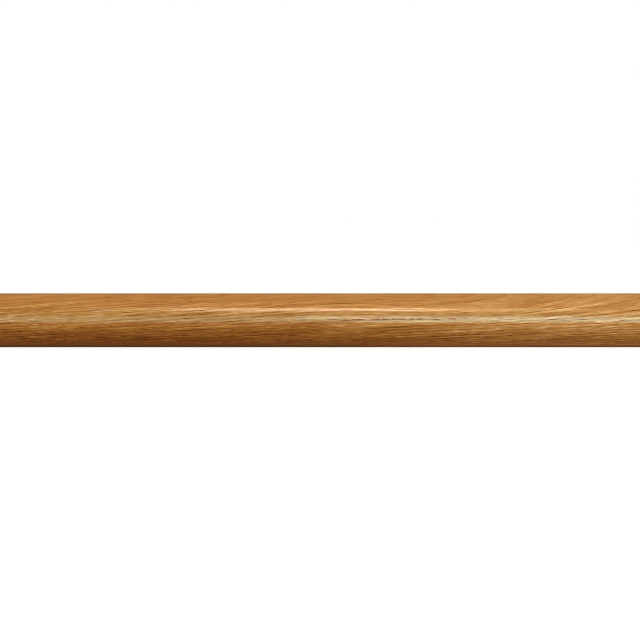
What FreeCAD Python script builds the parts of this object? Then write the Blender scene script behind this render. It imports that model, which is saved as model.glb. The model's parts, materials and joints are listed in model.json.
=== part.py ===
# A length of round timber stair handrail, in millimetres.
#
# The rail is one piece of hardwood, moulded to a circle with a flat run along its underside.
# Wall brackets screw up into that flat, and the edges where it meets the round are eased.
# Both ends are sawn square, and their sharp edge is taken off with a small chamfer.
#
# The rail lies along X on its flat. The origin is the middle of the flat, with +Z up.
import FreeCAD
import Part
import Sketcher

import os

# The driving dimensions: name in the sheet, millimetres, what it measures.
SIZES = (
    ("rail_length", 1200, "stock length, end to end"),
    ("rail_diameter", 54, "diameter of the round that the hand grips"),
    ("flat_width", 25, "width of the bracket flat before its edges are eased"),
    ("edge_radius", 1.5, "rounding of the two long edges of the flat"),
    ("end_chamfer", 1, "chamfer round each sawn end"),
)

CENTRE_OF_SKETCH = (-1, 1)
START, END = 1, 2
SAME_PLACE = 1e-6


def make_sheet(doc):
    """The spreadsheet that every feature reads its sizes from."""
    sheet = doc.addObject("Spreadsheet::Sheet", "Sizes")
    for row, (name, size, note) in enumerate(SIZES, start=1):
        sheet.set(f"A{row}", name)
        sheet.set(f"B{row}", str(size))
        sheet.set(f"C{row}", note)
        sheet.setAlias(f"B{row}", name)
    doc.recompute()
    return sheet


def origin_plane(body, role):
    """One of the body's own datum planes."""
    return next(plane for plane in body.Origin.OriginFeatures if plane.Role == role)


def draw_section(body, sheet):
    """The rail's section across its length: the flat on the ground line, and the round that closes it."""
    radius = sheet.rail_diameter / 2
    half_flat = sheet.flat_width / 2
    rise = (radius**2 - half_flat**2) ** 0.5
    left = FreeCAD.Vector(-half_flat, 0, 0)
    right = FreeCAD.Vector(half_flat, 0, 0)
    crown = FreeCAD.Vector(0, rise + radius, 0)

    sketch = body.newObject("Sketcher::SketchObject", "Section")
    sketch.AttachmentSupport = (origin_plane(body, "YZ_Plane"), [""])
    sketch.MapMode = "FlatFace"
    flat = sketch.addGeometry(Part.LineSegment(left, right), False)
    round_edge = sketch.addGeometry(Part.Arc(right, crown, left), False)

    sketch.addConstraint(Sketcher.Constraint("Coincident", flat, END, round_edge, START))
    sketch.addConstraint(Sketcher.Constraint("Coincident", flat, START, round_edge, END))
    sketch.addConstraint(Sketcher.Constraint("Horizontal", flat))
    sketch.addConstraint(Sketcher.Constraint("Symmetric", flat, START, flat, END, *CENTRE_OF_SKETCH))
    width = sketch.addConstraint(Sketcher.Constraint("DistanceX", flat, START, flat, END, 2 * half_flat))
    grip = sketch.addConstraint(Sketcher.Constraint("Diameter", round_edge, 2 * radius))
    sketch.setExpression(f"Constraints[{width}]", "Sizes.flat_width")
    sketch.setExpression(f"Constraints[{grip}]", "Sizes.rail_diameter")
    return sketch


def edges_of(feature, wanted):
    """Names of the feature's edges that pass a test on their bounding box."""
    edges = enumerate(feature.Shape.Edges, start=1)
    return [f"Edge{number}" for number, edge in edges if wanted(edge.BoundBox)]


def along_the_flat(box):
    """True for the two long edges where the flat meets the round."""
    return abs(box.ZMax) < SAME_PLACE and abs(box.YLength) < SAME_PLACE


def round_an_end(box):
    """True for the edges that outline a sawn end."""
    return abs(box.XLength) < SAME_PLACE


def make_handrail(doc, sheet):
    """The rail itself: its section run out to length, then eased along the flat and chamfered at the ends."""
    body = doc.addObject("PartDesign::Body", "Handrail")
    body.Label = "handrail"
    body.Placement = FreeCAD.Placement()

    length = body.newObject("PartDesign::Pad", "StockLength")
    length.Profile = draw_section(body, sheet)
    length.SideType = "Symmetric"
    length.setExpression("Length", "Sizes.rail_length")
    doc.recompute()

    eased = body.newObject("PartDesign::Fillet", "EasedFlat")
    eased.Base = (length, edges_of(length, along_the_flat))
    eased.setExpression("Radius", "Sizes.edge_radius")
    doc.recompute()

    sawn = body.newObject("PartDesign::Chamfer", "SawnEnds")
    sawn.Base = (eased, edges_of(eased, round_an_end))
    sawn.setExpression("Size", "Sizes.end_chamfer")
    body.Tip = sawn
    doc.recompute()
    return body


def check(doc, pieces):
    """Stops the build if a feature failed or a piece isn't one sound solid."""
    for item in doc.Objects:
        if {"Invalid", "Error"} & set(item.State):
            raise RuntimeError(f"{item.Label} failed: {item.State}")
    for piece in pieces:
        shape = piece.Shape
        if shape.isNull() or not shape.isValid() or len(shape.Solids) != 1:
            raise RuntimeError(f"{piece.Label} isn't one sound solid")


def main():
    doc = FreeCAD.newDocument("stair_handrail")
    sheet = make_sheet(doc)
    pieces = [make_handrail(doc, sheet)]
    check(doc, pieces)
    os.makedirs("parts", exist_ok=True)
    for piece in pieces:
        piece.Shape.exportStep(f"parts/{piece.Label}.step")
        box = piece.Shape.BoundBox
        print(
            f"{piece.Label}: {box.XLength:.2f} x {box.YLength:.2f} x {box.ZLength:.2f} mm, "
            f"{piece.Shape.Volume / 1e6:.4f} litres, {len(piece.Shape.Faces)} faces"
        )


main()
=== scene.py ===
# %% [markdown]
# # A length of round oak stair handrail
#
# The object is one piece of oak: a round rail with a narrow flat along its underside, clear lacquer on
# its long faces and bare sawn wood at its two ends. Nothing on it moves, so the whole lesson is about one
# well-made surface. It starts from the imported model, which fixes the rail's size and place.

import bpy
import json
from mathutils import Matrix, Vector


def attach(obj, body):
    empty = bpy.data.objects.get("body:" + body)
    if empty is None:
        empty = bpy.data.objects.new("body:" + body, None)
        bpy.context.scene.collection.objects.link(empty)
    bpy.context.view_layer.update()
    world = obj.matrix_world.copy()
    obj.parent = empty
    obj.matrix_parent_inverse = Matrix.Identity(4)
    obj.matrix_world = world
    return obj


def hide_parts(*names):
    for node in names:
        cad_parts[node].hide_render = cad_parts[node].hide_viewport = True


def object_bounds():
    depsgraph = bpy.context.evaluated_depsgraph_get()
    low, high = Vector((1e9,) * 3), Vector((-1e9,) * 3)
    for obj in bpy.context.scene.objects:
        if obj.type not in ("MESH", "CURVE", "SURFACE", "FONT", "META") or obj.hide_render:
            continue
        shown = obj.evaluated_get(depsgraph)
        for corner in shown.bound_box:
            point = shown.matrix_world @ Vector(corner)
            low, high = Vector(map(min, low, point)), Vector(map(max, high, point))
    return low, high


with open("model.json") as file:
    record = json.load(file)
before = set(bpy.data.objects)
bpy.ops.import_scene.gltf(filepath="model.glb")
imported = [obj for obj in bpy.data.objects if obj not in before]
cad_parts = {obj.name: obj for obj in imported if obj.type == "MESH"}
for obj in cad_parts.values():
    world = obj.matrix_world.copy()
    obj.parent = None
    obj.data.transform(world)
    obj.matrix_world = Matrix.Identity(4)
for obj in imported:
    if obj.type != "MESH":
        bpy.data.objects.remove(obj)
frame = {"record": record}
cad_low, cad_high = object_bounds()

# %% [markdown]
# The sizes are read from the frame and not typed in again. The record states the round as an interface,
# with its radius and the height of its axis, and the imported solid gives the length. The width of the flat
# follows from the radius and that height. The rail is worked out in millimetres, because a maker thinks of
# it that way, and its lengths become metres only where Blender needs them.

# %% Read the rail's sizes
import json
import math

import bpy
import numpy as np
from mathutils import Vector, noise

MM = 0.001

mounts = {mount["name"]: mount for mount in frame["record"]["mounts"]}
rail_radius = mounts["round_grip"]["dims"]["r_mm"]
axis_height = mounts["round_grip"]["pos_m"][2] / MM
rail_length = (cad_high.x - cad_low.x) / MM
flat_half = math.sqrt(rail_radius**2 - axis_height**2)
print(f"rail {rail_length:.1f} mm long, {2 * rail_radius:.1f} mm round, flat {2 * flat_half:.1f} mm wide")

# %% [markdown]
# The moulder leaves four stretches round the section: the flat, the round, and the two eased edges between
# them. An outline traced with loose points would show facets in the lacquer, so the round and the edges are
# arcs worked out from the sizes above. Each point keeps its outward direction, which later lets the early
# wood sink into the surface and lets the ends be chamfered.

# %% Draw the section as arcs
edge_radius = 1.5
points_round = 320
flat_steps = 24
ease_steps = 5
DOWN = -math.pi / 2

ease_reach = math.sqrt((rail_radius - edge_radius) ** 2 - (axis_height - edge_radius) ** 2)
ease_angle = math.atan2(edge_radius - axis_height, ease_reach)
round_steps = points_round - 2 * flat_steps - 2 * ease_steps


def arc(middle, radius, start, end, steps):
    """Points and outward directions along an arc in the (y, z) plane, without its last point."""
    turn = np.linspace(start, end, steps, endpoint=False)
    out = np.stack([np.cos(turn), np.sin(turn)], axis=1)
    return np.array(middle) + radius * out, out


def straight(start, end, out, steps):
    """Points along a straight stretch that faces one way, without its last point."""
    share = np.linspace(0, 1, steps, endpoint=False)[:, None]
    return np.array(start) * (1 - share) + np.array(end) * share, np.tile(out, (steps, 1))


stretches = [
    straight((0, 0), (ease_reach, 0), (0, -1), flat_steps),
    arc((ease_reach, edge_radius), edge_radius, DOWN, ease_angle, ease_steps),
    arc((0, axis_height), rail_radius, ease_angle, math.pi - ease_angle, round_steps),
    arc((-ease_reach, edge_radius), edge_radius, math.pi - ease_angle, math.pi - DOWN, ease_steps),
    straight((-ease_reach, 0), (0, 0), (0, -1), flat_steps),
]
outline = np.concatenate([points for points, _ in stretches])
outward_way = np.concatenate([out for _, out in stretches])
print(f"section of {len(outline)} points, {outline[:, 1].max():.2f} mm high")

# %% [markdown]
# The rail is skinned like a sleeve: the same outline stands at many stations along its length. The outline
# is drawn in by the chamfer at the two last stations. Rings of smaller and smaller outlines fill each end,
# because the sawn end shows growth rings and needs points to carry them.

# %% Set points along the rail
end_chamfer = 1.0
stations_along = 262
end_rings = 18

inner = np.linspace(-rail_length / 2 + end_chamfer, rail_length / 2 - end_chamfer, stations_along - 2)
stations = np.concatenate([[-rail_length / 2], inner, [rail_length / 2]])
drawn_in = np.zeros(stations_along)
drawn_in[[0, -1]] = end_chamfer


def sleeve_points():
    """Every point of the long faces, station by station."""
    rows = []
    for x, inset in zip(stations, drawn_in):
        section = outline - inset * outward_way
        rows.append(np.column_stack([np.full(points_round, x), section]))
    return np.concatenate(rows)


def end_points(x):
    """The rings of points inside a sawn end, from the outside in, and its middle."""
    rim = outline - end_chamfer * outward_way
    middle = np.array([0, axis_height])
    rings = []
    for share in np.linspace(1, 0, end_rings + 1)[1:-1]:
        ring = middle + share * (rim - middle)
        rings.append(np.column_stack([np.full(points_round, x), ring]))
    return np.concatenate([*rings, [[x, *middle]]])


skin = sleeve_points()
left_end = end_points(stations[0])
right_end = end_points(stations[-1])
points = np.concatenate([skin, left_end, right_end])
print(f"{len(skin)} points on the sleeve and {len(left_end)} inside each end")

# %% [markdown]
# Neighbouring stations are joined by four-sided faces. So are the rings of an end, with a fan of triangles
# at its middle. A face looks towards the side from which its corners run anticlockwise, and every face here
# has to look outwards. The left end is made like the right one, so its faces are turned over.

# %% Join the points into faces


def sleeve_faces():
    """Four-sided faces between neighbouring stations, facing outwards."""
    faces = []
    for row in range(stations_along - 1):
        for step in range(points_round):
            after = (step + 1) % points_round
            here, there = row * points_round, (row + 1) * points_round
            faces.append((here + step, here + after, there + after, there + step))
    return faces


def end_faces(rim_start, first, flip):
    """Faces that close an end: rings of four-sided ones, and a fan at the middle."""
    starts = [rim_start] + [first + ring * points_round for ring in range(end_rings - 1)]
    middle = first + (end_rings - 1) * points_round
    faces = []
    for step in range(points_round):
        after = (step + 1) % points_round
        for outer, inside in zip(starts, starts[1:]):
            faces.append((outer + step, outer + after, inside + after, inside + step))
        faces.append((starts[-1] + step, starts[-1] + after, middle))
    return [face[::-1] for face in faces] if flip else faces


left_first = len(skin)
right_first = left_first + len(left_end)
long_faces = sleeve_faces()
left_faces = end_faces(0, left_first, flip=True)
right_faces = end_faces((stations_along - 1) * points_round, right_first, flip=False)
faces = long_faces + left_faces + right_faces
print(f"{len(long_faces)} faces on the sleeve and {len(left_faces)} on each end")

# %% [markdown]
# Grain is a solid thing: every face of the rail is a slice through the same tree. So each point first gets
# its place in the tree: how far along the trunk it is, how far across, and how far outwards from the ring
# through the rail's middle. The rings lie nearly level here, so the top of the rail is flat-sawn, with wide
# calm figure, and the front is quarter-sawn, with close lines. The fibres climb along the rail, as in a
# trunk that grew with a slight twist. Near the top they dip once and then climb faster, where the trunk
# grew past a knot, and that makes the arch in the middle of the rail. Last, a slow waver and a quick one
# keep the rings from being too perfect.

# %% Place the rail in the tree
ring_lean = math.radians(80)
pith_distance = 150.0
grain_rise = 0.060
dip_depth, dip_at, dip_length = 9.0, 60.0, 40.0
dip_start, dip_full = -2.0, 24.0
lift_height, lift_at, lift_length = 13.0, 225.0, 100.0
lift_start, lift_full = 1.0, 26.0
slow_waver, slow_reach, slow_seed = 0.9, (160, 40, 16), 3.1
quick_waver, quick_reach, quick_seed = 0.2, (60, 14, 5), 11.7


def wander(places, reach, seed):
    """Smooth noise from -1 to 1 at each place, with waves about as long as reach says."""
    scaled = places / np.array(reach) + seed
    return np.array([noise.noise(place) for place in scaled.tolist()])


def step_up(value, at, length):
    """From 0 to 1 around a place, over about three times that length."""
    return 0.5 * (1 + np.tanh((value - at) / length))


def soft_share(value, low, high):
    """0 below low, 1 above high, and smooth between."""
    share = np.clip((value - low) / (high - low), 0, 1)
    return share**2 * (3 - 2 * share)


def place_in_tree(places):
    """Millimetres along the trunk, across it and outwards, for points on the rail."""
    along, side, height = places[:, 0], places[:, 1], places[:, 2] - axis_height
    out = height * math.sin(ring_lean) - side * math.cos(ring_lean)
    across = side * math.sin(ring_lean) + height * math.cos(ring_lean)
    out = np.hypot(out + pith_distance, across) - pith_distance
    dip = dip_depth * step_up(along, dip_at, dip_length) * soft_share(out, dip_start, dip_full)
    lift = lift_height * step_up(along, lift_at, lift_length) * soft_share(out, lift_start, lift_full)
    climb = grain_rise * along + lift - dip
    tree = np.column_stack([along, across - climb, out - climb])
    slow = wander(tree, slow_reach, slow_seed)
    quick = wander(tree, quick_reach, quick_seed)
    tree[:, 2] += slow_waver * slow + quick_waver * quick
    return tree


tree_places = place_in_tree(points)
print(f"millimetres outwards: {tree_places[:, 2].min():.1f} to {tree_places[:, 2].max():.1f}")

# %% [markdown]
# A tree puts on a wide ring in a good year and a narrow one in a dry year. The ring edges are a running sum
# of yearly widths, drawn from a seeded generator so that every run grows the same tree. A point's year is
# then a number whose whole part names the ring and whose fraction says how far through that ring it lies.

# %% Count the years
narrow_year = 2.2
wide_year = 3.8
years_in_reach = 110
tree_seed = 8

widths = np.random.default_rng(tree_seed).uniform(narrow_year, wide_year, years_in_reach)
ring_edges = np.cumsum(widths) - widths.sum() / 2
point_years = np.interp(tree_places[:, 2], ring_edges, np.arange(years_in_reach))
print(f"{np.ptp(point_years):.0f} rings cross the rail, {widths.mean():.2f} mm apart")

# %% [markdown]
# Lacquer never lies quite flat on oak. The soft early wood of each ring sinks a little when the rail is
# sanded, and the film follows it. That relief is under a hundredth of a millimetre deep, but gloss shows
# it, so it is cut into the mesh itself: each point of the long faces moves inwards by an amount that
# depends on its place in its ring.

# %% Sink the early wood
relief_depth = 0.008

way_out = np.zeros_like(points)
way_out[points_round : len(skin) - points_round, 1:] = np.tile(outward_way, (stations_along - 2, 1))
ring_share = point_years - np.floor(point_years)
sunk = relief_depth * 0.5 * (1 + np.cos(2 * math.pi * ring_share))
points = points - way_out * sunk[:, None]

rail_mesh = bpy.data.meshes.new("oak_handrail")
rail_mesh.from_pydata((points * MM).tolist(), [], faces)
rail_mesh.update()
rail = bpy.data.objects.new("oak_handrail", rail_mesh)
bpy.context.scene.collection.objects.link(rail)
print(f"relief up to {sunk.max():.3f} mm, {len(rail_mesh.polygons)} faces")

# %% [markdown]
# The two finishes of the rail are told apart face by face. The long faces are lacquered. The ends and their
# chamfers are bare, because the rail is cut to length after it is coated. The faces are shaded smooth, and
# the chamfer's edges are kept sharp so that the light breaks there.

# %% Sort the faces and smooth them
LACQUERED, SAWN = 0, 1
sharp_angle = math.radians(30)

finish_of_face = np.full(len(faces), SAWN, np.int32)
finish_of_face[points_round : len(long_faces) - points_round] = LACQUERED
rail_mesh.polygons.foreach_set("material_index", finish_of_face)
rail_mesh.polygons.foreach_set("use_smooth", np.ones(len(faces), bool))
rail_mesh.set_sharp_from_angle(angle=sharp_angle)
lacquered_faces = np.sum(finish_of_face == LACQUERED)
print(f"{lacquered_faces} lacquered faces and {len(faces) - lacquered_faces} sawn ones")

# %% [markdown]
# The material has to know where in the tree it is. Three values are stored on the mesh's points for that,
# as attributes: the place in the tree, the year, and how squarely the face cuts the rings. That last one is
# 1 where the cut goes across the rings, as on the front and the ends, and 0 where it runs along them.

# %% Give the material its bearings
nearly_square = 0.9


def store(name, kind, field, values):
    """Keeps a value for each point of the mesh, for the material to read."""
    attribute = rail_mesh.attributes.new(name, kind, "POINT")
    attribute.data.foreach_set(field, values.astype(np.float32).ravel())


facing_out = way_out[:, 2] * math.sin(ring_lean) - way_out[:, 1] * math.cos(ring_lean)
quarter_cut = np.sqrt(np.clip(1 - facing_out**2, 0, 1))
store("tree_place", "FLOAT_VECTOR", "vector", tree_places)
store("year", "FLOAT", "value", point_years)
store("quarter_cut", "FLOAT", "value", quarter_cut)
print(f"rings cut squarely, or nearly so, on {np.mean(quarter_cut > nearly_square):.0%} of the points")

# %% [markdown]
# When the model leaves Blender its pattern is painted onto a flat map. The rail is unrolled for that, as a
# sheet of veneer would be peeled from it: length across the map, girth up it, and the two round ends above
# it. The cut is in the middle of the flat underside, where nobody sees it. Of a face's four corners, the
# second and third are the ones further round. In the last face before the cut they are the outline's first
# point come round again, so on the map they go to the far edge.

# %% Unroll the rail
map_edge = 0.01
sleeve_top = 0.80
end_disc = 0.17
end_middles = np.array([0.25, 0.75])

girth_steps = np.linalg.norm(np.roll(outline, -1, axis=0) - outline, axis=1)
girth_share = np.concatenate([[0], np.cumsum(girth_steps)]) / girth_steps.sum()
unrolled = rail_mesh.uv_layers.new(name="OFBake")
corner_points = np.zeros(len(rail_mesh.loops), np.int32)
rail_mesh.loops.foreach_get("vertex_index", corner_points)
flat_map = np.zeros((len(corner_points), 2))

long_corners = 4 * len(long_faces)
station_of = corner_points[:long_corners] // points_round
step_of = corner_points[:long_corners] % points_round
further_round = np.tile([False, True, True, False], len(long_faces))
girth_step = np.where(further_round & (step_of == 0), points_round, step_of)
length_share = (stations[station_of] + rail_length / 2) / rail_length
flat_map[:long_corners, 0] = map_edge + (1 - 2 * map_edge) * length_share
flat_map[:long_corners, 1] = map_edge + sleeve_top * girth_share[girth_step]

end_corners = points[corner_points[long_corners:]]
which_end = (end_corners[:, 0] > 0).astype(int)
disc = (end_corners[:, 1:] - np.array([0, axis_height])) / rail_radius * end_disc / 2
disc_height = map_edge + sleeve_top + (1 - sleeve_top) / 2
flat_map[long_corners:, 0] = end_middles[which_end] + disc[:, 0]
flat_map[long_corners:, 1] = disc_height + disc[:, 1]
unrolled.data.foreach_set("uv", flat_map.astype(np.float32).ravel())
print("map reaches", flat_map.min(axis=0).round(3), "to", flat_map.max(axis=0).round(3))

# %% [markdown]
# Materials are recipes made of nodes. A few small helpers keep them readable. The first adds a node and
# fills its sockets with numbers or links. The others are the steps that every recipe needs: arithmetic, a
# blend of two colours, and a soft step up or down that turns noise into a mark with a clean edge.

# %% Helpers for node recipes


def add(recipe, kind, sockets=(), **settings):
    """A new node, with its settings and sockets filled in. A socket takes a number, a colour or a link."""
    node = recipe.nodes.new(kind)
    for name, value in settings.items():
        setattr(node, name, value)
    for name, value in dict(sockets).items():
        if isinstance(value, bpy.types.NodeSocket):
            recipe.links.new(value, node.inputs[name])
        else:
            node.inputs[name].default_value = value
    return node


def sums(recipe, operation, first, second=0.0):
    """One step of arithmetic."""
    return add(recipe, "ShaderNodeMath", {0: first, 1: second}, operation=operation).outputs[0]


def product(recipe, first, *others):
    """Several numbers multiplied together."""
    for other in others:
        first = sums(recipe, "MULTIPLY", first, other)
    return first


def total(recipe, first, *others):
    """Several numbers added up."""
    for other in others:
        first = sums(recipe, "ADD", first, other)
    return first


def blend(recipe, share, under, over, way="MIX"):
    """Two colours mixed by a share from 0 to 1."""
    sockets = {0: share, 6: under, 7: over}
    return add(recipe, "ShaderNodeMix", sockets, data_type="RGBA", blend_type=way).outputs[2]


def ease(recipe, value, low, high, out_low=0.0, out_high=1.0):
    """A soft step: out_low below low, out_high above high, and smooth between."""
    sockets = {0: value, 1: low, 2: high, 3: out_low, 4: out_high}
    return add(recipe, "ShaderNodeMapRange", sockets, interpolation_type="SMOOTHSTEP").outputs[0]


def fade(recipe, value, low, high):
    """The same step turned over: 1 below low, and 0 above high."""
    return ease(recipe, value, low, high, 1.0, 0.0)


print("helpers:", ", ".join(helper.__name__ for helper in (add, sums, product, total, blend, ease, fade)))

# %% [markdown]
# Everything in oak is long along the trunk and thin across it. So the whole figure is made from one kind of
# noise, drawn out by so many millimetres in each of the tree's three directions. Because that noise fills
# space, a streak on the front runs on over the top and comes out at the end, as it does in solid wood. Each
# layer may have its own seed, which says where in the noise it is taken from.

# %% Noise drawn out along the trunk


def stored(recipe, name, output):
    """A value that was stored on the mesh's points."""
    return add(recipe, "ShaderNodeAttribute", attribute_name=name).outputs[output]


def streaks(recipe, place, along, across, out, detail=2.0, seed=0.0):
    """Noise about 0.5, whose waves are so many millimetres long in the tree's three directions."""
    cells = {0: place, 1: (1 / along, 1 / across, 1 / out), 2: (seed, seed, seed)}
    spot = add(recipe, "ShaderNodeVectorMath", cells, operation="MULTIPLY_ADD").outputs[0]
    return add(recipe, "ShaderNodeTexNoise", {"Vector": spot, "Scale": 1.0, "Detail": detail}).outputs[0]


print("two more helpers:", stored.__name__, "and", streaks.__name__)

# %% [markdown]
# Each year's ring begins with soft, dark early wood full of wide pores and ends with dense, pale late wood.
# Rings don't look alike: some are strong and some are faint, and each one comes and goes along its length.
# Long pores are wide enough to break the lacquer, while short ones only mark the colour. Both kinds crowd
# into the early wood.

# %% Rings and pores
spring_ends = 0.34
faint_ring = 0.55
faint_stretch, stretch_edges = 0.35, (0.36, 0.62)
sparse_pores, sparse_edges = 0.25, (0.20, 0.60)
long_pore_edges = (0.30, 0.37)
short_pore_edges = (0.24, 0.34)


def early_wood(recipe, place, year):
    """1 in the early wood of a strong ring, and 0 in late wood."""
    spring = fade(recipe, sums(recipe, "FRACT", year), 0.0, spring_ends)
    ring = {"W": sums(recipe, "FLOOR", year)}
    luck = add(recipe, "ShaderNodeTexWhiteNoise", ring, noise_dimensions="1D").outputs["Value"]
    strength = ease(recipe, luck, 0.0, 1.0, faint_ring, 1.0)
    patches = streaks(recipe, place, along=160, across=8, out=1.5, seed=31.1)
    return product(recipe, spring, strength, ease(recipe, patches, *stretch_edges, faint_stretch, 1.0))


def pore_lines(recipe, place, year):
    """Two kinds of pore, each 1 inside a pore: the long ones, and the short ones."""
    crowding = ease(recipe, sums(recipe, "FRACT", year), *sparse_edges, 1.0, sparse_pores)
    long_noise = streaks(recipe, place, along=90, across=1.1, out=0.75, detail=1.0, seed=17.7)
    long_pores = fade(recipe, long_noise, *long_pore_edges)
    short_noise = streaks(recipe, place, along=16, across=0.6, out=0.4, detail=0.0)
    short_pores = fade(recipe, short_noise, *short_pore_edges)
    return product(recipe, long_pores, crowding), product(recipe, short_pores, crowding)


print(f"early wood takes up to {spring_ends:.0%} of a year, and pores thin out after {sparse_edges[0]:.0%}")

# %% [markdown]
# One row of wide pores lies open along the middle of the front, where it breaks the lower highlight into
# dashes. Noise can't be told to put a row there, so this is the only mark whose place is given. The row
# climbs slowly and wavers a little, and noise along it parts it into short pores that taper to their ends.

# %% One row of open pores
row_height = 27.2
row_climb = 0.009
row_waver, row_wave = 1.6, 20.0
row_half_width = (0.30, 0.64)
row_begins = (5.0, 8.0)
row_ends = (125.0, 155.0)
row_dash, dash_edges = 8.0, (0.41, 0.54)
NOISE_MIDDLE = 0.5


def noise_along(recipe, along, length):
    """Noise about 0.5 that changes only along the rail, with waves so many millimetres long."""
    sockets = {"W": along, "Scale": 1 / length}
    return add(recipe, "ShaderNodeTexNoise", sockets, noise_dimensions="1D").outputs[0]


def open_row(recipe):
    """1 inside the pores of the one row that lies open along the front."""
    rail_place = add(recipe, "ShaderNodeTexCoord").outputs["Object"]
    sockets = {0: rail_place, "Scale": 1 / MM}
    in_mm = add(recipe, "ShaderNodeVectorMath", sockets, operation="SCALE").outputs[0]
    along, side, height = add(recipe, "ShaderNodeSeparateXYZ", {0: in_mm}).outputs

    sway = sums(recipe, "SUBTRACT", noise_along(recipe, along, row_wave), NOISE_MIDDLE)
    climb = product(recipe, along, row_climb)
    row_middle = total(recipe, climb, row_height, product(recipe, sway, row_waver))
    off_row = sums(recipe, "ABSOLUTE", sums(recipe, "SUBTRACT", height, row_middle))

    stretch = product(recipe, ease(recipe, along, *row_begins), fade(recipe, along, *row_ends))
    dash = product(recipe, stretch, ease(recipe, noise_along(recipe, along, row_dash), *dash_edges))
    narrow, wide = [product(recipe, dash, reach) for reach in row_half_width]
    on_front = sums(recipe, "LESS_THAN", side, 0.0)
    return product(recipe, fade(recipe, off_row, narrow, wide), dash, on_front)


print(f"open row {row_height} mm up, from {row_begins[0]:.0f} to {row_ends[1]:.0f} mm along")

# %% [markdown]
# Rays are ribbons that run outwards from the pith. A face that cuts the rings squarely shows them as pale
# flecks, more in some patches than in others, and a face that runs along the rings shows none.

# %% Rays
fleck_edges = (0.56, 0.72)
patch_edges = (0.40, 0.60)
square_enough = (0.70, 0.95)


def ray_flecks(recipe, place, quarter):
    """1 inside a ray's fleck, which shows only where the rings are cut nearly squarely."""
    flecks = ease(recipe, streaks(recipe, place, along=14, across=0.8, out=1.1, detail=0.0), *fleck_edges)
    patches = ease(recipe, streaks(recipe, place, along=60, across=9, out=9), *patch_edges)
    return product(recipe, flecks, patches, ease(recipe, quarter, *square_enough))


print(f"rays can show on {np.mean(quarter_cut > square_enough[0]):.0%} of the points")

# %% [markdown]
# The colour works like tea. Oak is dark where it holds more tannin, so the layers of the figure bring no
# colours of their own: they add up to one strength of brew. The slow layers come first. They are darker
# wood towards the heart, which lies below the rail, and this darkening is partly painted shade that makes
# the underside darker and redder; then a drift along the trunk, a faint dark belt of years and soft clouds.

# %% Slow changes of the brew
# The heart's brew is partly painted shade: it darkens and reddens the rail's underside.
heart_and_shade_reach, heart_and_shade_brew = (-10.5, 4.0), (0.78, 0.31)
drift_reach, drift_brew = (-110.0, 220.0), (0.42, -0.16)
drift_fades, drift_left = (-4.0, 20.0), 0.4
belt_begins, belt_ends, belt_brew = (5.0, 9.0), (11.5, 15.5), 0.12
cloud_edges, cloud_brew = (0.3, 0.7), (0.10, -0.10)


def tree_level(recipe, place):
    """How far outwards a point would lie if the grain didn't climb along the rail."""
    trunk = add(recipe, "ShaderNodeSeparateXYZ", {0: place}).outputs
    return total(recipe, trunk[2], product(recipe, trunk[0], grain_rise))


def broad_brew(recipe, place):
    """The slow changes of strength through the trunk, darker low down partly as painted shade."""
    along = add(recipe, "ShaderNodeSeparateXYZ", {0: place}).outputs[0]
    level = tree_level(recipe, place)
    # Darker and redder lower down: partly heartwood, partly painted shade on the underside.
    heart_and_shade = ease(recipe, level, *heart_and_shade_reach, *heart_and_shade_brew)
    drift = ease(recipe, along, *drift_reach, *drift_brew)
    drift_share = ease(recipe, level, *drift_fades, 1.0, drift_left)
    inner_edge = ease(recipe, level, *belt_begins)
    belt = product(recipe, inner_edge, ease(recipe, level, *belt_ends, belt_brew, 0.0))
    cloud = ease(recipe, streaks(recipe, place, along=150, across=22, out=6), *cloud_edges, *cloud_brew)
    return total(recipe, heart_and_shade, product(recipe, drift, drift_share), belt, cloud)


print(f"brew of {heart_and_shade_brew[0]} at the heart and {heart_and_shade_brew[1]} further out, before the drift")

# %% [markdown]
# The fine layers are bands, thin sheets, threads and specks. All but the threads weaken where a face runs
# along the rings and in the calm wood near the heart. The sheets and threads together are the fibre, which
# the lacquer will follow.

# %% Fine changes of the brew
noise_reach = (0.2, 0.8)


def layer(recipe, place, darkest, palest, **waves):
    """One fine layer of strength, from its darkest lines to its palest."""
    return ease(recipe, streaks(recipe, place, **waves), *noise_reach, darkest, palest)


def fine_layers(recipe, place, streaky):
    """The fine changes of strength all together, and the fibre by itself."""
    bands = layer(recipe, place, darkest=0.38, palest=-0.32, along=240, across=5, out=1.4, seed=1.7)
    sheet_waves = {"along": 200, "across": 5, "out": 0.55, "detail": 3.0, "seed": 41.7}
    sheets = layer(recipe, place, darkest=0.41, palest=-0.34, **sheet_waves)
    threads = layer(recipe, place, darkest=0.18, palest=-0.15, along=120, across=0.9, out=4, detail=3.0)
    specks = layer(recipe, place, darkest=0.48, palest=-0.40, along=11, across=1.5, out=0.5, detail=3.0)
    fibre = total(recipe, product(recipe, sheets, streaky), threads)
    return total(recipe, product(recipe, total(recipe, bands, specks), streaky), fibre), fibre


print("fine layers take noise from", noise_reach[0], "to", noise_reach[1])

# %% [markdown]
# Tannin takes away blue light first and red light last. So the strength of the brew sets how much is left
# of the pale wood's red, green and blue, and dark lines come out red-brown and light ones straw, as on the
# real rail. Rings and pores add to the strength of the slow and fine layers, and rays take some away.

# %% The oak's colour
pale_oak = (0.592, 0.315, 0.110, 1)
left_by_tannin = (0.52, 0.355, 0.145)
early_brew = 0.72
pore_brew = 1.30
ray_brew = -0.40
cut_reach, along_rings_share = (0.35, 0.95), 0.28
calm_reach, calm_share = (-16.0, -5.0), 0.6


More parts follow.
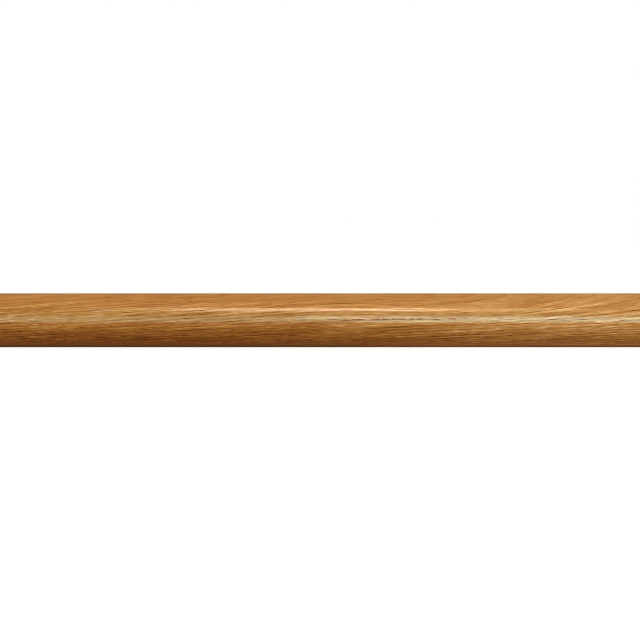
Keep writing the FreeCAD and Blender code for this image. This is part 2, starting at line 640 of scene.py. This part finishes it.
def oak_figure(recipe, streak_share):
    """Colour, open pores and fibre of solid oak, for any face cut from this tree."""
    place = stored(recipe, "tree_place", "Vector")
    year = stored(recipe, "year", "Fac")
    quarter = stored(recipe, "quarter_cut", "Fac")
    squarely = ease(recipe, quarter, *cut_reach, along_rings_share, 1.0)
    calm = ease(recipe, tree_level(recipe, place), *calm_reach, calm_share, 1.0)
    fine_brew, fibre = fine_layers(recipe, place, product(recipe, squarely, calm, streak_share))

    long_pores, short_pores = pore_lines(recipe, place, year)
    open_pores = sums(recipe, "MAXIMUM", product(recipe, long_pores, squarely), open_row(recipe))
    pores = sums(recipe, "MAXIMUM", open_pores, product(recipe, short_pores, squarely))
    early = product(recipe, early_wood(recipe, place, year), squarely, early_brew)
    rays = product(recipe, ray_flecks(recipe, place, quarter), ray_brew)
    marks = total(recipe, early, rays, product(recipe, pores, pore_brew))

    brew = total(recipe, broad_brew(recipe, place), fine_brew, marks)
    red, green, blue = [sums(recipe, "POWER", left, brew) for left in left_by_tannin]
    left_over = add(recipe, "ShaderNodeCombineColor", {0: red, 1: green, 2: blue}).outputs[0]
    return blend(recipe, 1.0, pale_oak, left_over, "MULTIPLY"), open_pores, fibre


one_brew = [round(pale * left, 3) for pale, left in zip(pale_oak, left_by_tannin)]
print("pale oak", pale_oak[:3], "and with one full brew", one_brew)

# %% [markdown]
# The lacquer is a clear coat over the wood, and a coat layer in the shader gives it its own gloss. Where a
# long pore opens, the film is thinner and sinks a little, which breaks the long highlights into dashes. The
# fibres lift it by a few thousandths of a millimetre. The wood under it stays dull.

# %% Lacquered oak
coat_share = 0.14
coat_roughness = 0.14
wood_roughness = 0.55
wood_shine = 0.0
pore_depth = 0.012
fibre_depth = 0.005
lost_in_pores = 0.9


def new_material(name):
    """An empty material, its recipe and its output."""
    material = bpy.data.materials.new(name)
    material.use_nodes = True
    material.node_tree.nodes.clear()
    return material, material.node_tree, material.node_tree.nodes.new("ShaderNodeOutputMaterial")


def surface_relief(recipe, pores, fibre):
    """A bent normal: pores sink, and pale fibres stand up a little."""
    raised = sums(recipe, "SUBTRACT", 1.0, fibre)
    hair = add(recipe, "ShaderNodeBump", {"Height": raised, "Distance": fibre_depth * MM, "Strength": 1.0})
    sink = sums(recipe, "SUBTRACT", 1.0, pores)
    sockets = {"Height": sink, "Distance": pore_depth * MM, "Strength": 1.0, "Normal": hair.outputs[0]}
    return add(recipe, "ShaderNodeBump", sockets).outputs[0]


lacquered, recipe, output = new_material("lacquered_oak")
colour, pores, fibre = oak_figure(recipe, streak_share=1.0)
relief = surface_relief(recipe, pores, fibre)
film = ease(recipe, pores, 0.0, 1.0, coat_share, coat_share * (1 - lost_in_pores))
sockets = {
    "Base Color": colour,
    "Roughness": wood_roughness,
    "Specular IOR Level": wood_shine,
    "Coat Weight": film,
    "Coat Roughness": coat_roughness,
    "Normal": relief,
    "Coat Normal": relief,
}
shader = add(recipe, "ShaderNodeBsdfPrincipled", sockets)
recipe.links.new(shader.outputs[0], output.inputs["Surface"])
print("lacquered oak made of", len(recipe.nodes), "nodes")

# %% [markdown]
# The ends are bare wood, straight from the saw. The same solid figure shows there as rings and dots. The
# rays, which are only flecks on the front, cross the rings here as thin pale lines. Dust from the cut pales
# the whole end, and the blade leaves fine arcs in it: the rings of a wave pattern whose middle is where the
# blade's axle was. At a scale of 1 that pattern repeats every 2 pi / 20 metres, and its scale is worked out
# from that and the pitch of the arcs.

# %% Sawn end grain
sawn_roughness = 0.85
sawn_shine = 0.2
sawn_streaks = 0.3
saw_dust = (0.55, 0.37, 0.20, 1)
dust_share = 0.35
ray_straw = (0.62, 0.42, 0.22, 1)
ray_share, ray_line_edges = 0.5, (0.57, 0.66)
saw_pitch, saw_depth, saw_wobble = 1.4, 0.02, 1.0
axle_place = (0.0, -60.0, 160.0)
wave_metres = 2 * math.pi / 20


def saw_arcs(recipe):
    """From 0 to 1 across each of the fine arcs that a round blade leaves."""
    place = add(recipe, "ShaderNodeTexCoord").outputs["Object"]
    sockets = {0: place, 1: [reach * MM for reach in axle_place]}
    from_axle = add(recipe, "ShaderNodeVectorMath", sockets, operation="SUBTRACT").outputs[0]
    sockets = {"Vector": from_axle, "Scale": wave_metres / (saw_pitch * MM), "Distortion": saw_wobble}
    return add(recipe, "ShaderNodeTexWave", sockets, wave_type="RINGS", rings_direction="X").outputs["Fac"]


sawn, recipe, output = new_material("sawn_oak")
colour, pores, fibre = oak_figure(recipe, streak_share=sawn_streaks)
place = stored(recipe, "tree_place", "Vector")
ray_noise = streaks(recipe, place, along=60, across=0.45, out=16, detail=0.0)
ray_lines = product(recipe, ease(recipe, ray_noise, *ray_line_edges), ray_share)
colour = blend(recipe, ray_lines, colour, ray_straw)
sockets = {
    "Height": saw_arcs(recipe),
    "Distance": saw_depth * MM,
    "Normal": surface_relief(recipe, pores, fibre),
}
marks = add(recipe, "ShaderNodeBump", sockets)
sockets = {
    "Base Color": blend(recipe, dust_share, colour, saw_dust),
    "Roughness": sawn_roughness,
    "Specular IOR Level": sawn_shine,
    "Normal": marks.outputs[0],
}
shader = add(recipe, "ShaderNodeBsdfPrincipled", sockets)
recipe.links.new(shader.outputs[0], output.inputs["Surface"])
print("sawn oak made of", len(recipe.nodes), "nodes")

# %% [markdown]
# The finished mesh stands for the plain solid of the imported model, rides on its one body and takes the
# two oak materials.

# %% Put the rail in the frame
rail_mesh.materials.append(lacquered)
rail_mesh.materials.append(sawn)
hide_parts("handrail")
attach(rail, "root")

# %% [markdown]
# The stage is a pale floor under a white sky. Both look white to the camera and in reflections, while the
# light that they throw on the rail is kept moderate, so the underside of the rail stays dark and the floor
# still takes its shadow. The floor lies a hair below the rail, so that no two faces are in one plane. It is
# so much larger than the rail that its size is given in metres.

# %% Floor
floor_metres = 40.0
floor_gap = 0.05
floor_grey = 0.72
floor_glow = 0.42


def shown_directly(recipe):
    """1 for what the camera sees, straight or by reflection or through glass, and 0 for scattered light."""
    path = add(recipe, "ShaderNodeLightPath").outputs
    seen = sums(recipe, "MAXIMUM", path["Is Camera Ray"], path["Is Glossy Ray"])
    return sums(recipe, "MAXIMUM", seen, path["Is Transmission Ray"])


corner = floor_metres / 2
floor_corners = [(-corner, -corner, 0), (corner, -corner, 0), (corner, corner, 0), (-corner, corner, 0)]
floor_mesh = bpy.data.meshes.new("floor")
floor_mesh.from_pydata(floor_corners, [], [(0, 1, 2, 3)])
floor = bpy.data.objects.new("floor", floor_mesh)
floor.location.z = cad_low.z - floor_gap * MM
bpy.context.scene.collection.objects.link(floor)

floor_paint, recipe, output = new_material("floor_paint")
matt = add(recipe, "ShaderNodeBsdfDiffuse", {"Color": (floor_grey, floor_grey, floor_grey, 1)})
glow = add(recipe, "ShaderNodeEmission", {"Strength": product(recipe, shown_directly(recipe), floor_glow)})
both = add(recipe, "ShaderNodeAddShader", {0: matt.outputs[0], 1: glow.outputs[0]})
recipe.links.new(both.outputs[0], output.inputs["Surface"])
floor_mesh.materials.append(floor_paint)
print("floor", floor_metres, "m across")

# %% [markdown]
# The sky is the world's background. The same test as in the floor's paint makes it white where it is seen
# and dimmer where it only lights the rail.

# %% Sky
sky_light = 0.36

world = bpy.data.worlds.new("sky")
bpy.context.scene.world = world
world.use_nodes = True
recipe = world.node_tree
recipe.nodes.clear()
sky_strength = ease(recipe, shown_directly(recipe), 0.0, 1.0, sky_light, 1.0)
sky = add(recipe, "ShaderNodeBackground", {"Color": (1, 1, 1, 1), "Strength": sky_strength})
sky_output = recipe.nodes.new("ShaderNodeOutputWorld")
recipe.links.new(sky.outputs[0], sky_output.inputs["Surface"])
print("sky lights the rail at", sky_light)

# %% [markdown]
# The camera looks straight at the side of the rail from a little above, so both of its edges cross the
# picture level and it runs out of the picture on both sides. Its distance follows from how thick the rail
# should look in a picture 640 pixels wide. Each pixel gathers light over no more than its own width, which
# keeps the fine grain crisp, and the standard view shows each colour as it was mixed.

# %% Camera
picture_pixels = 640
rail_pixels = 53.5
camera_rise = math.radians(5)
lens_mm = 50.0
sensor_mm = 36.0
pixel_reach = 1.0

seen_height = rail_radius + flat_half * math.sin(camera_rise) + axis_height * math.cos(camera_rise)
picture_mm = seen_height * picture_pixels / rail_pixels
camera_distance = picture_mm * lens_mm / sensor_mm
camera_data = bpy.data.cameras.new("camera")
camera_data.lens = lens_mm
camera_data.sensor_width = sensor_mm
camera = bpy.data.objects.new("camera", camera_data)
bpy.context.scene.collection.objects.link(camera)
bpy.context.scene.camera = camera
bpy.context.scene.cycles.filter_width = pixel_reach
bpy.context.scene.view_settings.view_transform = "Standard"

look_at = Vector((0, 0, axis_height + (rail_radius - seen_height / 2) / math.cos(camera_rise)))
back_way = Vector((0, -math.cos(camera_rise), math.sin(camera_rise)))
camera.location = (look_at + camera_distance * back_way) * MM
camera.rotation_euler = (-back_way).to_track_quat("-Z", "Y").to_euler()
print(f"camera {camera_distance:.0f} mm away, {picture_mm:.0f} mm of rail in the picture")

# %% [markdown]
# A soft lamp high in front gives the rail its round shading, and a weaker one from behind keeps the back
# from going dark. Two more stand level with the rail, one beyond each end, and face the sawn wood that the
# others miss. All four light the wood and stay out of reflections. A lamp's rise, in degrees, says how high
# it stands, from 0 in front through 90 overhead to 180 behind. Its swing says how far it is turned round to
# one end. Lamps stand far from the rail, so their distances are in metres.

# %% Soft lamps
key_light, key_rise = 0.72, 49
fill_light, fill_rise = 0.45, 176
end_light, end_rise, end_swing = 0.45, 0, 90
lamp_softness = math.radians(25)
end_softness = math.radians(5)
lamp_metres = 2.0
DAYLIGHT = (1.0, 0.97, 0.92)
WHITE = (1.0, 1.0, 1.0)


def place_lamp(name, kind, colour, rise, distance, side=0.0, swing=0.0):
    """A lamp that faces the rail from its rise and swing. A side moves it along the rail."""
    lamp = bpy.data.objects.new(name, bpy.data.lights.new(name, kind))
    bpy.context.scene.collection.objects.link(lamp)
    turn, round_to = math.radians(rise), math.radians(swing)
    level = math.cos(turn)
    way = Vector((level * math.sin(round_to), -level * math.cos(round_to), math.sin(turn)))
    lamp.location = way * distance + Vector((side, 0, axis_height * MM))
    lamp.rotation_euler = (-way).to_track_quat("-Z", "Y").to_euler()
    lamp.data.color = colour
    lamp.visible_camera = False
    return lamp


def soft_lamp(name, colour, light, rise, swing=0.0, softness=lamp_softness):
    """A broad far lamp. At a light of 1, a face turned to it renders in the colour it is painted."""
    lamp = place_lamp(name, "SUN", colour, rise, lamp_metres, swing=swing)
    lamp.data.energy = light * math.pi
    lamp.data.angle = softness
    lamp.visible_glossy = False


soft_lamp("front_key", DAYLIGHT, key_light, key_rise)
soft_lamp("back_fill", WHITE, fill_light, fill_rise)
soft_lamp("right_end_fill", DAYLIGHT, end_light, end_rise, end_swing, end_softness)
soft_lamp("left_end_fill", DAYLIGHT, end_light, end_rise, -end_swing, end_softness)
print("soft lamps at", key_rise, "and", fill_rise, "degrees, and one beyond each end")

# %% [markdown]
# The gloss is lit apart from that, as in a studio, by panels that show in the lacquer and light nothing
# else. A round rail shows each angle as one line along it, so a panel's rise picks the line where its
# reflection lies. There is a warm strip above, brightest in the middle and with a faint haze over it. Lower
# down are two cool strips towards the right, which meet in one broad line, and a straw-coloured one towards
# the left. A wide veil stands for the room. Distances and sizes are in metres, as for the lamps.

# %% Panels for the gloss
WARM = (1.0, 0.95, 0.54)
CREAM = (1.0, 0.93, 0.92)
AMBER = (1.0, 0.88, 0.50)
COOL = (0.62, 1.0, 0.89)
STRAW = (0.45, 1.0, 0.70)


def gloss_panel(name, colour, radiance, rise, distance, side, width, height, tilt=0):
    """A flat lamp that only shows in reflections. A tilt, in degrees, lifts its left end."""
    panel = place_lamp(name, "AREA", colour, rise, distance, side)
    panel.rotation_euler.rotate_axis("Z", math.radians(-tilt))
    panel.data.shape = "RECTANGLE"
    panel.data.size = width
    panel.data.size_y = height
    panel.data.energy = radiance * math.pi * width * height
    panel.visible_diffuse = False


gloss_panel("warm_strip", WARM, 25, rise=52.5, distance=1.1, side=0.04, width=1.1, height=0.26, tilt=3)
gloss_panel("warm_heart", CREAM, 25, rise=52, distance=1.05, side=-0.02, width=0.54, height=0.24)
gloss_panel("warm_haze", AMBER, 5, rise=73, distance=1.1, side=0.05, width=1.4, height=0.5)
gloss_panel("cool_strip_high", COOL, 38, rise=16.5, distance=1.5, side=0.6, width=1.3, height=0.29, tilt=6)
gloss_panel("cool_strip_low", COOL, 32, rise=5.5, distance=1.5, side=0.68, width=1.2, height=0.3)
gloss_panel("straw_strip", STRAW, 15, rise=12, distance=1.5, side=-0.53, width=1.15, height=0.62)
gloss_panel("room_veil", STRAW, 4.2, rise=24, distance=2.0, side=0.0, width=5.0, height=2.6)
